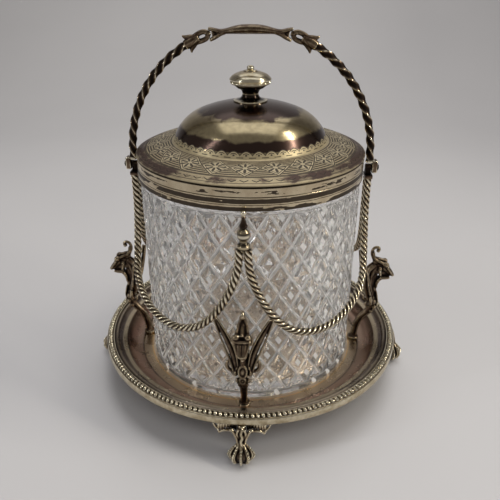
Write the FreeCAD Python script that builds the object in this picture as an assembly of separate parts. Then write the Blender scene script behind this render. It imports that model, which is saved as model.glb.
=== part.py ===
import FreeCAD, Part
import math
import os

# Biscuit jar: a cut-glass barrel with a plated collar and lift-off lid, standing in a plated
# frame with a swing handle. Millimetres, z = 0 is the table, the jar's axis is x = y = 0,
# and the front faces -Y. Sub-parts that repeat round the jar are made at the front and turned.

glass_radius = 65.0
glass_wall = 4.5
glass_floor = 7.0
glass_top = 143.0
dish_floor_top = 16.8
dish_thickness = 1.4
dish_edge_radius = 90.6
rim_bottom = 24.2
rim_radius = 95.2
bead_radius = 1.3
bead_centre_radius = 93.0
foot_ball_radius = 6.95
foot_ball_centre = (96.6, 6.5)
bracket_radius = 70.0
bracket_stud_radius = 1.5
rope_radius = 2.05
finial_radius = 69.0
finial_bottom = 116.2
rope_cap_bottom = 132.0
rope_cap_top = 134.0
pivot_height = 138.0
pivot_pin_radius = 1.3
pivot_clearance = 0.06
collar_bottom = 135.1
collar_top = 147.3
collar_radius = 65.9
collar_mouth_radius = 60.9
lid_rim_radius = 66.25
dome_base_radius = 44.4
dome_crown_radius = 79.2
dome_crown_centre_height = 97.1
dome_shoulder_radius = 25.1
dome_shoulder_centre = (20.47, 147.2)
dome_arcs_meet_radius = 30.0
lid_sheet = 1.3
knob_pad_top = 175.84
knob_stud_radius = 1.6
handle_radius = 69.8
handle_centre_height = 145.0
handle_rod_radius = 2.2
ferrule_radius = 3.0
ferrule_start_deg = 59.0
ferrule_end_deg = 70.4
ferrule_eye_deg = 67.6
ferrule_eye_radius = 1.3

# The route of one rope swag, from the front finial to the right-hand pivot post:
# degrees round from the front, height, distance from the jar's axis.
swag_route = [
    (1.9, 116.2, 69.4),
    (1.9, 107.0, 69.4),
    (4.2, 96.5, 70.3),
    (9.0, 83.5, 71.1),
    (15.5, 72.5, 71.9),
    (24.0, 64.8, 72.4),
    (36.0, 62.0, 72.5),
    (50.0, 64.2, 72.4),
    (62.0, 69.0, 72.2),
    (72.5, 73.2, 71.9),
    (80.5, 80.5, 71.3),
    (84.8, 92.0, 70.7),
    (87.3, 106.0, 70.0),
    (88.2, 119.0, 69.7),
    (88.2, 132.0, 69.7),
]

UP = FreeCAD.Vector(0, 0, 1)
ALONG_X = FreeCAD.Vector(1, 0, 0)
ALONG_Y = FreeCAD.Vector(0, 1, 0)
CENTRE = FreeCAD.Vector(0, 0, 0)


def closed_face(steps, place):
    """A face from its corners: (a, b) ends a line, (a, b, am, bm) ends an arc through am, bm."""
    edges = []
    start = place(*steps[0][:2])
    last = start
    for step in steps[1:] + [steps[0][:2]]:
        end = place(*step[:2])
        if len(step) == 4:
            edges.append(Part.Arc(last, place(*step[2:]), end).toShape())
        else:
            edges.append(Part.LineSegment(last, end).toShape())
        last = end
    return Part.Face(Part.Wire(edges))


def turned(steps):
    """A round solid about the jar's axis from an outline of (radius, height) steps."""
    face = closed_face(steps, lambda r, z: FreeCAD.Vector(r, 0, z))
    return face.revolve(CENTRE, UP, 360)


def side_plate(steps, half_width):
    """A plate standing at the front, from an outline in (distance from axis, height)."""
    face = closed_face(steps, lambda r, z: FreeCAD.Vector(-half_width, -r, z))
    return face.extrude(FreeCAD.Vector(2 * half_width, 0, 0))


def front_plate(steps, near, far):
    """A plate facing the front, from an outline in (sideways, height)."""
    face = closed_face(steps, lambda t, z: FreeCAD.Vector(t, -near, z))
    return face.extrude(FreeCAD.Vector(0, near - far, 0))


def rod_between(first, second, r1, r2):
    """A tapered round bar from one point to another."""
    run = second - first
    if abs(r1 - r2) < 1e-6:
        return Part.makeCylinder(r1, run.Length, first, run)
    return Part.makeCone(r1, r2, run.Length, first, run)


def joined(shapes):
    """One solid from several that touch or overlap."""
    return shapes[0].multiFuse(shapes[1:]).removeSplitter()


def rotated(shape, degrees):
    """A copy of a shape turned about the jar's axis."""
    copy = shape.copy()
    copy.rotate(CENTRE, UP, degrees)
    return copy


def dish():
    under = dish_floor_top - dish_thickness
    body = turned([
        (0, dish_floor_top),
        (72.0, dish_floor_top),
        (72.8, 17.5),
        (74.0, 17.5),
        (82.7, 25.2, 80.2, 19.8),
        (84.9, 25.9),
        (88.2, 28.6, 87.3, 26.7),
        (89.0, 28.9),
        (dish_edge_radius, 28.4),
        (dish_edge_radius, 26.4),
        (88.9, 26.6),
        (86.6, 24.5),
        (84.0, 23.9),
        (74.0, 15.9, 81.2, 18.2),
        (72.4, under),
        (0, under),
    ])
    for turn in range(4):
        hole = Part.makeCylinder(bracket_stud_radius, 10, FreeCAD.Vector(0, -bracket_radius, 10))
        body = body.cut(rotated(hole, 90 * turn))
    return body


def bead_rim():
    seat = 29.2
    return turned([
        (dish_edge_radius, rim_bottom),
        (rim_radius, rim_bottom),
        (rim_radius + 0.2, 25.2),
        (rim_radius, seat - 1.0),
        (bead_centre_radius + bead_radius, seat),
        (bead_centre_radius - bead_radius, seat, bead_centre_radius, seat + bead_radius),
        (dish_edge_radius, seat - 0.2),
    ])


def claw_foot():
    """A claw and ball on a curved leg, under a leaf-shaped plate that is soldered to the rim."""
    r_ball, z_ball = foot_ball_centre
    ball = Part.makeSphere(foot_ball_radius, FreeCAD.Vector(0, -r_ball, z_ball))
    ball = ball.cut(Part.makeBox(40, 40, 20, FreeCAD.Vector(-20, -r_ball - 20, -20)))
    leg = side_plate([
        (91.4, 22.6),
        (94.7, 22.6),
        (95.6, 18.0),
        (98.2, 13.2),
        (98.2, 9.0),
        (94.6, 9.0),
        (93.7, 14.0),
        (92.0, 18.0),
    ], 2.2)
    leaf = front_plate([
        (-14.0, 22.6),
        (-9.0, rim_bottom),
        (9.0, rim_bottom),
        (14.0, 22.6),
        (8.5, 21.2),
        (5.0, 19.2),
        (2.2, 15.5),
        (-2.2, 15.5),
        (-5.0, 19.2),
        (-8.5, 21.2),
    ], 92.2, 94.4)
    return joined([ball, leg, leaf])


def beast_bracket(ropes):
    """A horned beast's head on an S-shaped column, with two arms up to the rope swags."""
    column = side_plate([
        (68.2, 17.8),
        (71.8, 17.8),
        (71.6, 25.9),
        (74.3, 32.0),
        (79.0, 36.8),
        (79.0, 43.0),
        (73.6, 37.6),
        (69.6, 31.4),
        (68.2, 25.9),
    ], 1.75)
    base = front_plate([
        (-3.15, dish_floor_top),
        (3.15, dish_floor_top),
        (2.4, 18.2),
        (-2.4, 18.2),
    ], 67.4, 72.6)
    body = side_plate([
        (76.2, 35.2),
        (83.2, 39.6),
        (84.2, 45.7, 84.8, 42.4),
        (79.6, 52.0),
        (81.2, 57.2),
        (83.0, 61.5),
        (87.6, 61.6),
        (91.2, 64.6),
        (87.5, 71.6),
        (87.3, 73.8),
        (84.4, 75.8),
        (76.0, 73.3),
        (73.5, 57.6, 73.0, 65.5),
        (75.4, 52.2),
        (79.0, 47.6),
        (77.0, 42.1),
    ], 3.0)
    brow = front_plate([
        (-5.0, 72.4),
        (5.0, 72.4),
        (4.2, 74.8),
        (-4.2, 74.8),
    ], 83.0, 87.6)
    parts = [column, base, body, brow]
    for side in (-1, 1):
        ring_centre = FreeCAD.Vector(side * 2.3, -79.8, 79.4)
        parts.append(Part.makeTorus(2.2, 0.95, ring_centre, ALONG_X))
        shoulder = FreeCAD.Vector(side * 2.2, -79.0, 55.5)
        tip = FreeCAD.Vector(side * 14.9, -71.6, 76.4)
        parts.append(rod_between(shoulder, tip, 2.3, 1.15))
    stud = Part.makeCylinder(bracket_stud_radius, 6.0, FreeCAD.Vector(0, -bracket_radius, 12.2))
    parts.append(stud)
    pieces = joined(parts).cut(ropes).Solids
    return max(pieces, key=lambda piece: piece.Volume)


def bracket_nuts():
    """Hexagon nuts under the dish, one on each bracket's stud."""
    top = dish_floor_top - dish_thickness
    across = 2.9
    corners = [(across / math.cos(math.pi / 6), k * math.pi / 3) for k in range(7)]
    centre = FreeCAD.Vector(0, -bracket_radius, top - 2.4)
    ring = [centre + FreeCAD.Vector(r * math.cos(a), r * math.sin(a), 0) for r, a in corners]
    nut = Part.Face(Part.makePolygon(ring)).extrude(FreeCAD.Vector(0, 0, 2.4))
    nut = nut.cut(Part.makeCylinder(bracket_stud_radius, 10, centre - UP))
    return Part.makeCompound([rotated(nut, 90 * turn) for turn in range(4)])


def swag_wire(mirror):
    """Straight runs joined by tangent arcs along the swag's route."""
    points = []
    for degrees, height, distance in swag_route:
        a = math.radians(degrees)
        points.append(FreeCAD.Vector(mirror * distance * math.sin(a), -distance * math.cos(a), height))
    edges = []
    last = points[0]
    smallest = 1e9
    for before, corner, after in zip(points, points[1:], points[2:]):
        back = before - corner
        ahead = after - corner
        reach = 0.45 * min(back.Length, ahead.Length)
        turn = math.pi - back.getAngle(ahead)
        smallest = min(smallest, reach / math.tan(turn / 2))
        back.normalize()
        ahead.normalize()
        enter = corner + back * reach
        leave = corner + ahead * reach
        inward = back + ahead
        inward.normalize()
        bend = reach / math.tan(turn / 2)
        middle = corner + inward * (bend / math.cos(turn / 2) - bend)
        edges.append(Part.LineSegment(last, enter).toShape())
        edges.append(Part.Arc(enter, middle, leave).toShape())
        last = leave
    edges.append(Part.LineSegment(last, points[-1]).toShape())
    return Part.Wire(edges), smallest


def rope_swag(mirror):
    wire, smallest = swag_wire(mirror)
    start = wire.Edges[0].Vertexes[0].Point
    circle = Part.makeCircle(rope_radius, start, UP)
    solid = wire.makePipeShell([Part.Wire([circle])], True, False)
    expected = math.pi * rope_radius ** 2 * wire.Length
    print("rope smallest bend", round(smallest, 1), "volume", round(solid.Volume / expected, 4))
    return solid


def finial():
    """A turned finial that stands where two swags end: saucer, banded ball, vase and top ball."""
    steps = [
        (0, finial_bottom),
        (2.9, finial_bottom),
        (3.35, 117.0),
        (3.35, 118.4),
        (1.9, 120.0),
        (2.2, 121.0),
        (3.1, 122.6),
        (3.1, 125.8, 3.3, 124.2),
        (1.5, 127.4),
        (1.9, 129.4, 2.1, 128.4),
        (0.9, 132.6),
        (1.4, 133.4),
        (0.8, 134.2),
        (1.4, 135.3, 1.25, 134.6),
        (0.4, 136.75, 1.1, 136.25),
        (0, 136.75),
    ]
    face = closed_face(steps, lambda r, z: FreeCAD.Vector(r, -finial_radius, z))
    return face.revolve(FreeCAD.Vector(0, -finial_radius, 0), UP, 360)


def pivot_post():
    """The cap on the ends of two swags at the right, with the round-topped lug of the pivot."""
    cap = Part.makeBox(4.4, 8.6, rope_cap_top - rope_cap_bottom, FreeCAD.Vector(67.5, -4.3, rope_cap_bottom))
    lug_half = 2.0
    lug_near = 67.7
    lug_far = 70.9
    rise = pivot_height - rope_cap_top
    foot = FreeCAD.Vector(lug_near, -lug_half, rope_cap_top)
    plate = Part.makeBox(lug_far - lug_near, 2 * lug_half, rise, foot)
    head = Part.makeCylinder(lug_half, lug_far - lug_near, FreeCAD.Vector(lug_near, 0, pivot_height), ALONG_X)
    bore = Part.makeCylinder(pivot_pin_radius, 10, FreeCAD.Vector(65, 0, pivot_height), ALONG_X)
    return joined([cap, plate, head]).cut(bore)


def pivot_pin():
    """A rivet through lug and handle end, with a domed head outside."""
    shank = Part.makeCylinder(pivot_pin_radius, 7.1, FreeCAD.Vector(67.7, 0, pivot_height), ALONG_X)
    head = Part.makeCone(2.1, 1.3, 0.7, FreeCAD.Vector(74.8, 0, pivot_height), ALONG_X)
    return joined([shank, head])


def glass_jar():
    inner = glass_radius - glass_wall
    return turned([
        (0, dish_floor_top + 1.2),
        (50.0, dish_floor_top + 1.2),
        (52.0, dish_floor_top),
        (glass_radius - 1.2, dish_floor_top),
        (glass_radius, dish_floor_top + 1.2),
        (glass_radius, glass_top),
        (inner, glass_top),
        (inner, dish_floor_top + glass_floor + 4.0),
        (inner - 4.0, dish_floor_top + glass_floor, inner - 1.17, dish_floor_top + glass_floor + 1.17),
        (0, dish_floor_top + glass_floor),
    ])


def collar_band():
    """The plated collar: an outer band with a turned-in mouth, over the glass's top edge."""
    inside = glass_radius + 0.05
    return turned([
        (inside, collar_bottom),
        (collar_radius, collar_bottom),
        (collar_radius, 142.0),
        (collar_radius - 0.35, 142.3),
        (collar_radius, 142.6),
        (collar_radius, collar_top - 0.5),
        (collar_radius - 0.5, collar_top),
        (collar_mouth_radius, collar_top),
        (collar_mouth_radius, collar_top - 1.6),
        (inside, collar_top - 1.6),
    ])


def collar_cement():
    """The plaster that fills the collar above the glass's edge."""
    return turned([
        (collar_mouth_radius + 0.4, glass_top),
        (glass_radius, glass_top),
        (glass_radius, collar_top - 1.6),
        (collar_mouth_radius + 0.4, collar_top - 1.6),
    ])


def on_crown(radius, inset):
    """Height of the dome's flatter crown at a radius, or of a surface inset from it."""
    return dome_crown_centre_height + math.sqrt((dome_crown_radius - inset) ** 2 - radius ** 2)


def on_shoulder(radius, inset):
    """Height of the dome's full shoulder at a radius, or of a surface inset from it."""
    centre_radius, centre_height = dome_shoulder_centre
    return centre_height + math.sqrt((dome_shoulder_radius - inset) ** 2 - (radius - centre_radius) ** 2)


def lid_shell():
    inside = dome_base_radius - 1.4
    meet = dome_arcs_meet_radius
    meet_inside = meet - 0.5
    return turned([
        (60.2, collar_top),
        (64.6, collar_top),
        (65.4, 147.8),
        (lid_rim_radius, 147.9),
        (lid_rim_radius, 148.5),
        (65.6, 148.9),
        (45.4, 154.3, 56.5, 152.4),
        (dome_base_radius, on_shoulder(dome_base_radius, 0)),
        (meet, on_crown(meet, 0), 39.5, on_shoulder(39.5, 0)),
        (8.5, knob_pad_top, 20.0, on_crown(20.0, 0)),
        (knob_stud_radius, knob_pad_top),
        (knob_stud_radius, knob_pad_top - lid_sheet),
        (8.3, knob_pad_top - lid_sheet),
        (meet_inside, on_crown(meet_inside, lid_sheet), 19.5, on_crown(19.5, lid_sheet)),
        (inside, on_shoulder(inside, lid_sheet), 38.6, on_shoulder(38.6, lid_sheet)),
        (57.6, 149.9, 51.0, 152.3),
        (60.2, 149.9),
    ])


def lid_bezel():
    """The ring under the lid that drops inside the collar's mouth."""
    return turned([
        (58.8, 141.3),
        (60.0, 141.3),
        (60.0, 149.9),
        (58.8, 149.9),
    ])


def knob_base():
    return turned([
        (knob_stud_radius, knob_pad_top),
        (9.6, knob_pad_top),
        (9.6, 176.4),
        (8.3, 176.65),
        (7.2, 176.9),
        (4.6, 179.8, 5.2, 178.1),
        (6.6, 182.7, 5.1, 181.4),
        (knob_stud_radius, 182.7),
    ])


def knob_cup():
    return turned([
        (knob_stud_radius, 182.7),
        (6.6, 182.7),
        (7.6, 183.0),
        (9.6, 184.7),
        (9.6, 186.2),
        (knob_stud_radius, 186.2),
    ])


def knob_bead_ring():
    return turned([
        (9.6, 184.7),
        (10.5, 184.7),
        (10.5, 186.2, 11.2, 185.45),
        (9.6, 186.2),
    ])


def knob_cap():
    return turned([
        (knob_stud_radius, 186.2),
        (11.0, 186.2),
        (11.8, 187.3, 11.65, 186.6),
        (6.6, 191.7, 10.2, 190.2),
        (1.6, 192.6),
        (0, 192.6),
        (0, 189.0),
        (knob_stud_radius, 189.0),
    ])


def knob_button():
    return turned([
        (0, 192.6),
        (1.2, 192.6),
        (1.75, 193.5, 1.6, 193.0),
        (0.5, 195.1, 1.35, 194.6),
        (0, 195.1),
    ])


def knob_stud():
    return Part.makeCylinder(knob_stud_radius, 20.5, FreeCAD.Vector(0, 0, 168.5))


def knob_nut():
    top = knob_pad_top - lid_sheet
    thick = 3.0
    corner = 4.0
    ring = [FreeCAD.Vector(corner * math.cos(k * math.pi / 3), corner * math.sin(k * math.pi / 3), top - thick)
            for k in range(7)]
    nut = Part.Face(Part.makePolygon(ring)).extrude(UP * thick)
    return nut.cut(Part.makeCylinder(knob_stud_radius, 10, FreeCAD.Vector(0, 0, top - 5)))


def handle_arc(radius, start_deg, end_deg):
    """A round bar bent about the handle's centre, from one angle above the right side to another."""
    hub = FreeCAD.Vector(0, 0, handle_centre_height)
    a = math.radians(start_deg)
    out = FreeCAD.Vector(math.cos(a), 0, math.sin(a))
    tangent = FreeCAD.Vector(-math.sin(a), 0, math.cos(a))
    disc = Part.Face(Part.Wire([Part.makeCircle(radius, hub + out * handle_radius, tangent)]))
    return disc.revolve(hub, ALONG_Y, start_deg - end_deg)


def handle_rod():
    foot = FreeCAD.Vector(handle_radius, 0, handle_centre_height - 1.0)
    straight = Part.makeCylinder(handle_rod_radius, 1.0, foot)
    return joined([straight, handle_arc(handle_rod_radius, 0.0, ferrule_start_deg)])


def handle_ferrule():
    """The leaf casting between rod and grip, kept to a plain bar pierced by its eye."""
    bar = handle_arc(ferrule_radius, ferrule_start_deg, ferrule_end_deg)
    turn = math.radians(ferrule_eye_deg)
    x = handle_radius * math.cos(turn)
    z = handle_centre_height + handle_radius * math.sin(turn)
    return bar.cut(Part.makeCylinder(ferrule_eye_radius, 10, FreeCAD.Vector(x, -5, z), FreeCAD.Vector(0, 1, 0)))


def handle_end():
    """The block under the twisted rod, with an ear outside the lug that turns on the pin."""
    near = 67.9
    ear_near = 71.2
    far = 74.6
    half = 2.6
    bridge_bottom = pivot_height + 2.9
    bridge_top = handle_centre_height - 1.0
    thickness = bridge_top - bridge_bottom
    bridge = Part.makeBox(far - near, 2 * half, thickness, FreeCAD.Vector(near, -half, bridge_bottom))
    ear_round = Part.makeCylinder(3.2, far - ear_near, FreeCAD.Vector(ear_near, 0, pivot_height), ALONG_X)
    rise = bridge_bottom - pivot_height
    ear = Part.makeBox(far - ear_near, 2 * half, rise, FreeCAD.Vector(ear_near, -half, pivot_height))
    bore_radius = pivot_pin_radius + pivot_clearance
    bore = Part.makeCylinder(bore_radius, 10, FreeCAD.Vector(66, 0, pivot_height), ALONG_X)
    return joined([bridge, ear, ear_round]).cut(bore)


def handle_grip():
    """The plain grip at the top: a bowed bar with waists and flared ends."""
    a = math.radians(ferrule_end_deg)
    low = handle_radius - 3.0
    high = handle_radius + 3.0
    low_x = low * math.cos(a)
    low_z = handle_centre_height + low * math.sin(a)
    high_x = high * math.cos(a)
    high_z = handle_centre_height + high * math.sin(a)
    side_face = closed_face([
        (-low_x, low_z),
        (-15.5, 210.4),
        (15.5, 210.4, 0, 211.8),
        (low_x, low_z),
        (high_x, high_z),
        (20.5, 214.1),
        (15.0, 213.6),
        (-15.0, 213.6, 0, 216.1),
        (-20.5, 214.1),
        (-high_x, high_z),
    ], lambda x, z: FreeCAD.Vector(x, -6.0, z))
    side = side_face.extrude(ALONG_Y * 12.0)
    plan_face = closed_face([
        (-25.0, -2.8),
        (-21.0, -3.8),
        (-15.0, -2.4),
        (15.0, -2.4, 0, -4.3),
        (21.0, -3.8),
        (25.0, -2.8),
        (25.0, 2.8),
        (21.0, 3.8),
        (15.0, 2.4),
        (-15.0, 2.4, 0, 4.3),
        (-21.0, 3.8),
        (-25.0, 2.8),
    ], lambda x, y: FreeCAD.Vector(x, y, 200.0))
    return side.common(plan_face.extrude(UP * 20.0))


def mirrored(shape):
    return shape.mirror(CENTRE, ALONG_X)


def subparts():
    front_right = rope_swag(1)
    front_left = rope_swag(-1)
    ropes = {
        "rope_swag_front_right": front_right,
        "rope_swag_front_left": front_left,
        "rope_swag_back_right": rotated(front_left, 180),
        "rope_swag_back_left": rotated(front_right, 180),
    }
    shapes = {"dish": dish(), "bead_rim": bead_rim()}
    quarter_turns = {"front": 0, "right": 90, "back": 180, "left": 270}
    for name, degrees in quarter_turns.items():
        shapes["claw_foot_" + name] = rotated(claw_foot(), degrees)
        nearby = Part.makeCompound([rotated(rope, -degrees) for rope in ropes.values()])
        shapes["beast_bracket_" + name] = rotated(beast_bracket(nearby), degrees)
    shapes["bracket_nuts"] = bracket_nuts()
    shapes.update(ropes)
    shapes["finial_front"] = finial()
    shapes["finial_back"] = rotated(finial(), 180)
    for name, turn in (("right", 0), ("left", 180)):
        shapes["pivot_post_" + name] = rotated(pivot_post(), turn)
        shapes["pivot_pin_" + name] = rotated(pivot_pin(), turn)
        shapes["handle_end_" + name] = rotated(handle_end(), turn)
        shapes["handle_rod_" + name] = rotated(handle_rod(), turn)
        shapes["handle_ferrule_" + name] = rotated(handle_ferrule(), turn)
    shapes["handle_grip"] = handle_grip()
    shapes["glass_jar"] = glass_jar()
    shapes["collar_band"] = collar_band()
    shapes["collar_cement"] = collar_cement()
    shapes["lid_shell"] = lid_shell()
    shapes["lid_bezel"] = lid_bezel()
    shapes["knob_base"] = knob_base()
    shapes["knob_cup"] = knob_cup()
    shapes["knob_bead_ring"] = knob_bead_ring()
    shapes["knob_cap"] = knob_cap()
    shapes["knob_button"] = knob_button()
    shapes["knob_stud"] = knob_stud()
    shapes["knob_nut"] = knob_nut()
    return shapes


os.makedirs("parts", exist_ok=True)
for name, shape in subparts().items():
    box = shape.BoundBox
    sound = shape.isValid() and shape.Volume > 0
    print(name, len(shape.Solids), "ok" if sound else "BAD", round(shape.Volume, 1),
          round(box.ZMin, 1), round(box.ZMax, 1))
    shape.exportStep("parts/" + name + ".step")
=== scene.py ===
import math
from functools import partialmethod

import bpy
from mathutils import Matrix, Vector


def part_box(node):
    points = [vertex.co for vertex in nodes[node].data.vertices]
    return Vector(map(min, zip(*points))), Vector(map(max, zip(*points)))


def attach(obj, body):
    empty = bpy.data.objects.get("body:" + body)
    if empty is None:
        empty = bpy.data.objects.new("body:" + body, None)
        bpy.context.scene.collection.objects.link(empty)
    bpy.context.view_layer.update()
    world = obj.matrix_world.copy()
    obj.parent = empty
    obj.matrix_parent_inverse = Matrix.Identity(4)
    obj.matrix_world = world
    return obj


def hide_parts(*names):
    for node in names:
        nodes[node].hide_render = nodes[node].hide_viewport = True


# Biscuit jar: cut glass in a tarnished silver-plated frame. Lengths below are millimetres
# unless a name says otherwise, and MM turns them into the frame's metres.
MM = 0.001
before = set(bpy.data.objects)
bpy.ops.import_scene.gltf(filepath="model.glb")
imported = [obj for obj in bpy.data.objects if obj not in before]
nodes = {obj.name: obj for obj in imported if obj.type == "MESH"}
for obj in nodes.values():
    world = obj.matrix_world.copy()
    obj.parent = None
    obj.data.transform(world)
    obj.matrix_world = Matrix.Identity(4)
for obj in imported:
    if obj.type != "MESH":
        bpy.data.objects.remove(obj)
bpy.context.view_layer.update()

# Driving sizes, read from the frame
dish_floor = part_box("glass_jar")[0].z / MM
glass_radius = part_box("glass_jar")[1].x / MM
rim_low, rim_high = (corner.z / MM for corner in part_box("bead_rim"))
rim_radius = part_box("bead_rim")[1].x / MM

# The cut band of the glass: diamonds round it and up it, and its lower and upper edge
CUT_COLUMNS, CUT_ROWS = 32, 6
CUT_LOW, CUT_HIGH = 20.5, 132.5

# The handle's arch: height of its centre, and distance from there to the rods' middle
HANDLE_HUB, HANDLE_REACH = 145.0, 69.8

# Quarter turns of the feet and brackets, in degrees
QUARTERS = {"front": 0, "right": 90, "back": 180, "left": 270}

# The route of one rope swag, from the front finial to the right-hand pivot post:
# degrees round from the front, height, distance from the jar's axis
SWAG_ROUTE = [
    (1.9, 116.2, 69.4), (1.9, 107.0, 69.4), (4.2, 96.5, 70.3), (9.0, 83.5, 71.1),
    (15.5, 72.5, 71.9), (24.0, 64.8, 72.4), (36.0, 62.0, 72.5), (50.0, 64.2, 72.4),
    (62.0, 69.0, 72.2), (72.5, 73.2, 71.9), (80.5, 80.5, 71.3), (84.8, 92.0, 70.7),
    (87.3, 106.0, 70.0), (88.2, 119.0, 69.7), (88.2, 132.0, 69.7),
]


# Camera, as the photograph was taken: its place was fitted to the jar's own circles
def place_camera():
    bpy.ops.object.camera_add(location=(0.01607, -0.31731, 0.23856))
    camera = bpy.context.object
    camera.rotation_euler = (math.radians(90 - 26.29), 0, math.radians(2.9))
    camera.data.lens = 39.83
    camera.data.sensor_width = 36
    camera.data.shift_x = -0.001
    camera.data.clip_start = 0.01
    bpy.context.scene.camera = camera


# Modelling helpers
def clear_selection():
    if bpy.context.object and bpy.context.object.mode != "OBJECT":
        bpy.ops.object.mode_set(mode="OBJECT")
    bpy.ops.object.select_all(action="DESELECT")


def only(obj):
    clear_selection()
    obj.select_set(True)
    bpy.context.view_layer.objects.active = obj


def edit(obj, mode="VERT"):
    only(obj)
    bpy.ops.object.mode_set(mode="EDIT")
    bpy.ops.mesh.select_mode(type=mode)


def pick_edges(obj, test):
    """Selects, in edit mode, just the edges whose two end vertices pass a test."""
    bpy.ops.mesh.select_all(action="DESELECT")
    bpy.ops.object.mode_set(mode="OBJECT")
    for edge in obj.data.edges:
        edge.select = test(*(obj.data.vertices[v] for v in edge.vertices))
    bpy.ops.object.mode_set(mode="EDIT")


def runs_up(start, end):
    return abs(start.co.z - end.co.z) > MM


def lies_at(height):
    """A test for edges that lie at one height."""
    return lambda start, end: all(abs(v.co.z - height) < 0.01 * MM for v in (start, end))


def settle(obj, smooth_deg=40):
    """Ends a piece: merged, facing outwards, its place in its mesh, shaded smooth by angle."""
    edit(obj)
    bpy.ops.mesh.select_all(action="SELECT")
    bpy.ops.mesh.remove_doubles(threshold=0.004 * MM)
    bpy.ops.mesh.normals_make_consistent(inside=False)
    bpy.ops.object.mode_set(mode="OBJECT")
    bpy.ops.object.transform_apply(location=True, rotation=True, scale=True)
    if smooth_deg:
        bpy.ops.object.shade_smooth_by_angle(angle=math.radians(smooth_deg))
    else:
        bpy.ops.object.shade_flat()
    return obj


def apply_modifier(obj, kind, **settings):
    only(obj)
    modifier = obj.modifiers.new(kind.lower(), kind)
    for key, value in settings.items():
        setattr(modifier, key, value)
    bpy.ops.object.modifier_apply(modifier=modifier.name)


def extrude_steps(outline):
    """Extrudes the selected ring up and scales it, from each (radius, height) step to the next."""
    for (radius, height), (next_radius, next_height) in zip(outline, outline[1:]):
        rise = (0, 0, (next_height - height) * MM)
        bpy.ops.mesh.extrude_region_move(TRANSFORM_OT_translate={"value": rise})
        scale = next_radius / radius
        bpy.ops.transform.resize(value=(scale, scale, 1), center_override=(0, 0, next_height * MM))


def turned(name, outline, around=96):
    """Turns an outline of (radius, height) steps about the jar's axis."""
    clear_selection()
    radius, height = outline[0]
    bpy.ops.mesh.primitive_circle_add(
        vertices=around, radius=radius * MM, location=(0, 0, height * MM))
    obj = bpy.context.object
    obj.name = name
    bpy.ops.object.mode_set(mode="EDIT")
    bpy.ops.mesh.select_all(action="SELECT")
    extrude_steps(outline)
    bpy.ops.mesh.select_all(action="SELECT")
    bpy.ops.mesh.remove_doubles(threshold=0.004 * MM)
    bpy.ops.mesh.select_all(action="DESELECT")
    bpy.ops.mesh.select_non_manifold()
    if obj.data.total_edge_sel:
        bpy.ops.mesh.fill_holes(sides=0)
    return settle(obj)


def stroke(points):
    """A tapering round bar through points of (across the front, out from the axis, up, radius)."""
    clear_selection()
    bpy.ops.curve.primitive_nurbs_path_add(location=(0, 0, 0))
    obj = bpy.context.object
    spline = obj.data.splines[0]
    steps = list(points)
    while len(steps) < 5:
        steps = between(steps)
    spline.points.add(len(steps) - 5)
    for point, (across, out, up, radius) in zip(spline.points, steps):
        point.co = (across * MM, -out * MM, up * MM, 1)
        point.radius = radius
    spline.order_u = 3
    spline.use_endpoint_u = True
    obj.data.bevel_depth = MM
    obj.data.bevel_resolution = 3
    obj.data.resolution_u = 5
    obj.data.use_fill_caps = True
    bpy.ops.object.convert(target="MESH")
    return bpy.context.object


def between(steps):
    """Adds a step halfway between each two."""
    fuller = [steps[0]]
    for here, there in zip(steps, steps[1:]):
        fuller.append(tuple((a + b) / 2 for a, b in zip(here, there)))
        fuller.append(there)
    return fuller


def lump(across, out, up, size, tilt=0):
    """A rounded lump, given its half sizes across, out and up."""
    clear_selection()
    bpy.ops.mesh.primitive_ico_sphere_add(
        subdivisions=3, radius=MM, location=(across * MM, -out * MM, up * MM),
        rotation=(math.radians(tilt), 0, 0), scale=size)
    return bpy.context.object


def hoop(across, out, up, wide, tall, wire, tilt):
    """An oval ring facing outwards."""
    clear_selection()
    bpy.ops.mesh.primitive_torus_add(
        major_segments=28, minor_segments=8, major_radius=MM, minor_radius=wire / wide * MM,
        location=(across * MM, -out * MM, up * MM), rotation=(math.radians(90 + tilt), 0, 0))
    bpy.context.object.scale = (wide, tall, wide)
    return bpy.context.object


def sided(points, side):
    """Points for the right side as they are, or mirrored to the left when side is -1."""
    return [(side * across, *others) for across, *others in points]


def casting(name, parts, voxel, faces):
    """Runs rough bars and lumps together into one cast skin."""
    skin = join(name, parts)
    apply_modifier(skin, "REMESH", mode="VOXEL", voxel_size=voxel * MM)
    apply_modifier(skin, "SMOOTH", factor=0.5, iterations=2)
    count = len(skin.data.polygons) * 2
    if count > faces:
        apply_modifier(skin, "DECIMATE", ratio=faces / count)
    return settle(skin, 70)


def join(name, objects):
    clear_selection()
    for obj in objects:
        obj.select_set(True)
    bpy.context.view_layer.objects.active = objects[0]
    bpy.ops.object.join()
    bpy.ops.object.transform_apply(location=True, rotation=True, scale=True)
    obj = bpy.context.object
    obj.name = name
    return obj


def copied(obj, name, turn_deg):
    """A copy with its own mesh, turned about the jar's axis."""
    only(obj)
    bpy.ops.object.duplicate()
    other = bpy.context.object
    other.name = name
    other.rotation_euler = (0, 0, math.radians(turn_deg))
    bpy.ops.object.transform_apply(location=True, rotation=True, scale=True)
    return other


def finish_as(obj, body, slot, material, *replaced):
    obj.data.materials.clear()
    obj.data.materials.append(material)
    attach(obj, body)
    if replaced:
        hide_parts(*replaced)


def finish_handle_pair(right, left_name, material, node_start):
    """A piece of the handle's right half, and its copy turned round to the left."""
    left = copied(right, left_name, 180)
    finish_as(right, "handle", "handle_plate", material, node_start + "_right")
    finish_as(left, "handle", "handle_plate", material, node_start + "_left")


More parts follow.
